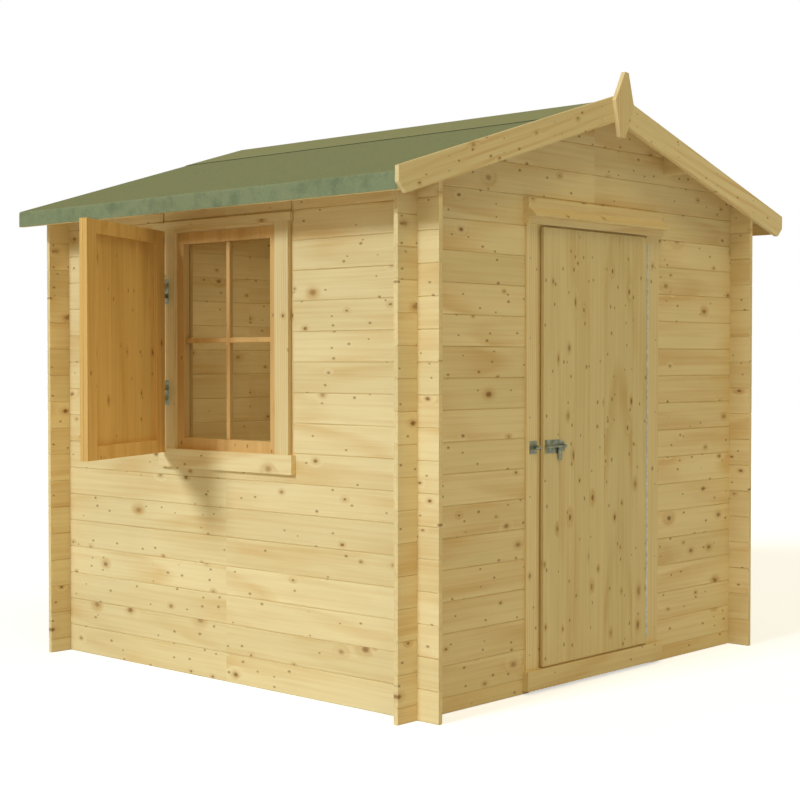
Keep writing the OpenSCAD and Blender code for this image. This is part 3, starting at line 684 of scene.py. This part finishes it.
# %% Zinc
zinc = bpy.data.materials.new("zinc_plated_steel")
zinc.use_nodes = True
tree = zinc.node_tree
tree.nodes.clear()
place = add_node(tree, "ShaderNodeTexCoord").outputs["Object"]
bloom = add_node(tree, "ShaderNodeTexNoise", {"Vector": place, "Scale": 60.0, "Detail": 4.0})
shade = add_node(tree, "ShaderNodeValToRGB", {0: bloom.outputs[0]})
shade.color_ramp.elements[0].position = 0.3
shade.color_ramp.elements[0].color = linear("7d887d")
shade.color_ramp.elements[1].position = 0.75
shade.color_ramp.elements[1].color = linear("ccd3cb")
shader = add_node(tree, "ShaderNodeBsdfPrincipled", {
    "Base Color": shade.outputs[0], "Metallic": 0.9, "Roughness": 0.42})
add_node(tree, "ShaderNodeOutputMaterial", {"Surface": shader.outputs[0]})
give(zinc, "bolt_keep", "bolt_body", "bolt_rod", "shutter_hinges_fixed",
     "shutter_hinges_moving")
# Painted highlight: the long door hinge gets a paler, less metallic copy of the zinc, standing in
# for the pale glint along its knuckle.
hinge_highlight_zinc = zinc.copy()
hinge_highlight_zinc.name = "zinc_with_painted_highlight"
for piece in hinge_highlight_zinc.node_tree.nodes:
    if piece.type == "VALTORGB":
        piece.color_ramp.elements[0].color = linear("c3cac2")
        piece.color_ramp.elements[1].color = linear("eef1ec")
    if piece.type == "BSDF_PRINCIPLED":
        piece.inputs["Metallic"].default_value = 0.35
give(hinge_highlight_zinc, "door_hinge_fixed", "door_hinge_moving")
print("zinc on the bolt and hinges")

# %% [markdown]
# ## Glass
# Float glass is clear with a faint green cast. It refracts what is behind
# it, but light for the room passes as if it weren't there.

# %% Glass
glass = bpy.data.materials.new("clear_window_glass")
glass.use_nodes = True
tree = glass.node_tree
tree.nodes.clear()
path = add_node(tree, "ShaderNodeLightPath")
pane = add_node(tree, "ShaderNodeBsdfPrincipled", {
    "Base Color": linear("f4faf7"), "Roughness": 0.0, "IOR": 1.5, "Transmission Weight": 1.0})
clear = add_node(tree, "ShaderNodeBsdfTransparent", {"Color": linear("f0f6f3")})
through = add_node(tree, "ShaderNodeMixShader", {
    0: path.outputs["Is Shadow Ray"], 1: pane.outputs[0], 2: clear.outputs[0]})
add_node(tree, "ShaderNodeOutputMaterial", {"Surface": through.outputs[0]})
give(glass, "window_glass")

# %% [markdown]
# ## Boards
# The door, the shutter and the floor are slabs in the CAD model. On the real
# cabin each is a row of tongued boards with a small V between neighbours.
# One board is modelled from a cube with its edges bevelled, then copied
# along the row, and the row takes the slab's place. Each copy has its own
# mesh, and the row is made one piece whose place is in its mesh.

# %% Board tool
def from_cube(low, high, bevel=0.0):
    """A block from low to high, its edges bevelled, with its origin at zero."""
    low, high = Vector(low), Vector(high)
    bpy.ops.object.select_all(action="DESELECT")
    bpy.ops.mesh.primitive_cube_add(size=1, location=(low + high) / 2, scale=high - low)
    block = bpy.context.active_object
    bpy.ops.object.transform_apply(location=True, rotation=True, scale=True)
    if bevel:
        bpy.ops.object.mode_set(mode="EDIT")
        bpy.ops.mesh.select_all(action="SELECT")
        bpy.ops.mesh.bevel(offset=bevel, segments=1, affect="EDGES")
        bpy.ops.object.mode_set(mode="OBJECT")
    return block


def join(pieces, name):
    """Several pieces made one, with its place in its mesh."""
    bpy.ops.object.select_all(action="DESELECT")
    for piece in pieces:
        piece.select_set(True)
    bpy.context.view_layer.objects.active = pieces[0]
    bpy.ops.object.join()
    bpy.ops.object.transform_apply(location=True, rotation=True, scale=True)
    whole = bpy.context.active_object
    whole.name = whole.data.name = name
    return whole


def board_row(name, low, high, axis, count, bevel, gap=0.0004):
    """A slab from low to high cut into count boards along one axis."""
    low, high = Vector(low), Vector(high)
    step = (high[axis] - low[axis]) / count
    end = high.copy()
    end[axis] = low[axis] + step
    start = low.copy()
    start[axis] += gap / 2
    end[axis] -= gap / 2
    first = from_cube(start, end, bevel)
    row = [first]
    for i in range(1, count):
        copy = first.copy()
        copy.data = first.data.copy()
        scene.collection.objects.link(copy)
        shift = Vector((0, 0, 0))
        shift[axis] = step * i
        copy.location = shift
        row.append(copy)
    return join(row, name)


# %% Door boards
DOOR_BOARDS = 7
door_low, door_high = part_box("door_leaf")
door_boards = board_row("door_boards", door_low, door_high, axis=0, count=DOOR_BOARDS,
                        bevel=0.002)
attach(door_boards, "door")
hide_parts("door_leaf")
BOARD = (door_high[0] - door_low[0]) / DOOR_BOARDS
door_pine = pine("planed_pine_door_boards", Z, X, Y, BOARD, start=door_low[0], pale="e2cf9c",
                 ring="c7a263", knots=0.75, seed=31.0)
give(door_pine, "door_boards")
give(pine("planed_pine_door_ledges", X, Z, Y, 0.3, seed=37.0), "door_ledges")
print("door boards", len(door_boards.data.polygons), "faces")

# %% [markdown]
# ## Shutter
# The shutter stands open at rest. Its boards are made as if it were closed,
# where they lie square to the axes, and the whole row is then turned about
# the hinge. The grain follows the turned board, so its three directions are
# worked out from the same angle.

# %% Shutter boards
OPEN = math.radians(65)
hinge = Vector(joint_at["shutter_hinge"]["pos_m"])
swing = (Matrix.Translation(Vector((hinge.x, hinge.y, 0))) @ Matrix.Rotation(-OPEN, 4, "Z")
         @ Matrix.Translation(Vector((-hinge.x, -hinge.y, 0))))
shut_low, shut_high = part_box("shutter_boards")
SHUTTER_BOARDS = 6
SHUTTER_W, BOARD_T, FRAME_T = 0.640, 0.016, 0.016
PIN_TO_BACK = 0.008      # from the hinge pin to the frame's inner face
PIN_TO_EDGE = 0.0055     # from the hinge pin to the boards' near edge
face_x = hinge.x + PIN_TO_BACK - FRAME_T
near_y = hinge.y - PIN_TO_EDGE
shutter_boards = board_row(
    "shutter_planks", (face_x - BOARD_T, near_y - SHUTTER_W, shut_low[2]),
    (face_x, near_y, shut_high[2]), axis=1, count=SHUTTER_BOARDS, bevel=0.002)
shutter_boards.matrix_world = swing
bpy.ops.object.transform_apply(location=True, rotation=True, scale=True)
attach(shutter_boards, "shutter")
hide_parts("shutter_boards")
wide = (math.sin(OPEN), math.cos(OPEN), 0)
thick = (math.cos(OPEN), -math.sin(OPEN), 0)
origin = Vector(wide).dot(swing @ Vector((face_x, near_y, 0)))
give(pine("planed_pine_shutter_boards", Z, wide, thick, SHUTTER_W / SHUTTER_BOARDS, start=origin,
          pale="dfb56c", ring="c08a3c", knots=0.6, seed=41.0), "shutter_planks")
give(pine("planed_pine_shutter_frame", Z, wide, thick, 0.3, start=origin, pale="e3b970",
          ring="c68f42", knots=0.3, seed=43.0), "shutter_frame")
print("shutter boards, open by", round(math.degrees(OPEN), 1), "degrees")

# %% [markdown]
# ## Floor and roof boards
# Both are rows of narrow boards. The floor is seen from the door, so it gets
# real boards. The roof boards are seen only at their edges and from inside,
# so they keep their slabs and have the boards in their pattern.

# %% Floor and roof boards
FLOOR_BOARDS = 22
ROOF_BOARD_W = 0.091
floor_low, floor_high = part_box("floor_boards")
floor_row = board_row("floor_planks", floor_low, floor_high, axis=0, count=FLOOR_BOARDS,
                      bevel=0.0015)
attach(floor_row, "cabin")
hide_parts("floor_boards")
give(pine("planed_pine_floor", Y, X, Z, (floor_high[0] - floor_low[0]) / FLOOR_BOARDS,
          start=floor_low[0], seed=47.0), "floor_planks")
give(pine("planed_pine_roof_left", left_rake, Y, (-math.sin(PITCH), 0, math.cos(PITCH)),
          ROOF_BOARD_W, seed=53.0), "roof_boards_left")
give(pine("planed_pine_roof_right", right_rake, Y, (math.sin(PITCH), 0, math.cos(PITCH)),
          ROOF_BOARD_W, seed=59.0), "roof_boards_right")
print("floor boards", len(floor_row.data.polygons), "faces")

# %% [markdown]
# ## Window
# The window frame is a redder, warmer pine. Two thin glazing bars cross in
# front of the glass and make four panes.

# %% Window frame and glazing bars
warm = dict(pale="d9b071", ring="b98242", knots=0.25)
give(pine("warm_pine_window", Z, Y, X, 0.2, seed=61.0, **warm), "window_frame")
glass_low, glass_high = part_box("window_glass")
MID_Y = (glass_low[1] + glass_high[1]) / 2
BAR_W, BAR_T, LAP = 0.020, 0.020, 0.008     # LAP is how far a bar stops short
CLEAR = 0.0002                              # a gap, so that no two faces share a place
MID_Z = 1.3405                              # the middle of the lying bar
upright = from_cube(
    (glass_low[0] - BAR_T, MID_Y - BAR_W / 2, glass_low[2] + LAP),
    (glass_low[0] - CLEAR, MID_Y + BAR_W / 2, glass_high[2] - LAP), bevel=0.002)
across = from_cube(
    (glass_low[0] - BAR_T + 0.0005, glass_low[1] + LAP, MID_Z - BAR_W / 2),
    (glass_low[0] - CLEAR, glass_high[1] - LAP, MID_Z + BAR_W / 2), bevel=0.002)
bars = join([upright, across], "glazing_bars")
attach(bars, "cabin")
give(pine("warm_pine_bars", Z, Y, X, 0.2, seed=67.0, **warm), "glazing_bars")
print("glazing bars", len(bars.data.polygons), "faces")

# %% [markdown]
# ## Screws and nails
# The bolt and its keep are held on their boards by small pan-head screws,
# and the bargeboards and trims by pairs of round nails. One head is
# modelled from a twelve-sided cylinder with a domed rim and a sunk middle.
# It is then copied, turned to face out of its board and joined into a set.

# %% Head tool
def head_set(name, places, radius, height, rides):
    """Fastener heads at places, a list of (point, outward direction)."""
    bpy.ops.object.select_all(action="DESELECT")
    bpy.ops.mesh.primitive_cylinder_add(vertices=12, radius=radius, depth=height,
                                        location=(0, 0, height / 2))
    pattern = bpy.context.active_object
    bpy.ops.object.transform_apply(location=True, rotation=True, scale=True)
    bpy.ops.object.mode_set(mode="EDIT")
    bpy.ops.mesh.select_mode(type="FACE")
    bpy.ops.mesh.select_all(action="DESELECT")
    bpy.ops.object.mode_set(mode="OBJECT")
    for face in pattern.data.polygons:
        face.select = face.normal.z > 0.9
    bpy.ops.object.mode_set(mode="EDIT")
    bpy.ops.mesh.inset(thickness=radius * 0.35, depth=height * 0.3)
    bpy.ops.mesh.inset(thickness=radius * 0.3, depth=0)
    bpy.ops.mesh.inset(thickness=radius * 0.05, depth=-height * 0.5)
    bpy.ops.object.mode_set(mode="OBJECT")
    heads = []
    for point, outward in places:
        head = pattern.copy()
        head.data = pattern.data.copy()
        scene.collection.objects.link(head)
        head.location = point
        head.rotation_mode = "QUATERNION"
        head.rotation_quaternion = Vector(outward).to_track_quat("Z", "Y")
        heads.append(head)
    bpy.data.objects.remove(pattern)
    whole = join(heads, name)
    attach(whole, rides)
    give(zinc, name)
    print(name, len(places), "heads")
    return whole


# %% Bolt and keep screws
FRONT = (0, -1, 0)
PLATE_T = 0.0016         # the bolt's plate and the keep, which the screws clamp
SCREW_IN = 0.006         # from a plate's edge to its screws
low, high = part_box("bolt_body")
plate_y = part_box("door_leaf")[0][1] - PLATE_T
head_set("bolt_screws", [((x, plate_y, z), FRONT)
                         for x in (low[0] + SCREW_IN, low[0] + 0.034)
                         for z in (low[2] + SCREW_IN, high[2] - SCREW_IN)],
         radius=0.0032, height=0.0012, rides="door")
low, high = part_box("bolt_keep")
keep_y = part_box("door_trims")[0][1] - PLATE_T
head_set("keep_screws", [((low[0] + SCREW_IN, keep_y, z), FRONT)
                         for z in (low[2] + 0.007, high[2] - 0.007)],
         radius=0.0030, height=0.0012, rides="cabin")

# %% Nails
NAIL_STEP = 0.3          # from nail to nail up a door trim
low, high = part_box("door_trims")
trim_y = low[1]
nail_places = [((x, trim_y, z), FRONT)
               for x in (low[0] + 0.022, high[0] - 0.022)
               for z in [low[2] + 0.06 + NAIL_STEP * i for i in range(6)]]
low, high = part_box("bargeboard_left")
for x in (0.12, 0.42, 0.72, 1.02):
    for drop in (0.025, 0.075):
        z = high[2] - x * math.tan(PITCH) - drop
        nail_places += [((-x, low[1], z), FRONT), ((x, low[1], z), FRONT)]
head_set("trim_nails", nail_places, radius=0.0028, height=0.0008, rides="cabin")

# %% [markdown]
# ## Sizes and finish
# The box of the finished model is printed.

# %% Sizes and finish
low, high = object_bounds()
print("visual box", [round(v, 3) for v in (*low, *high)])
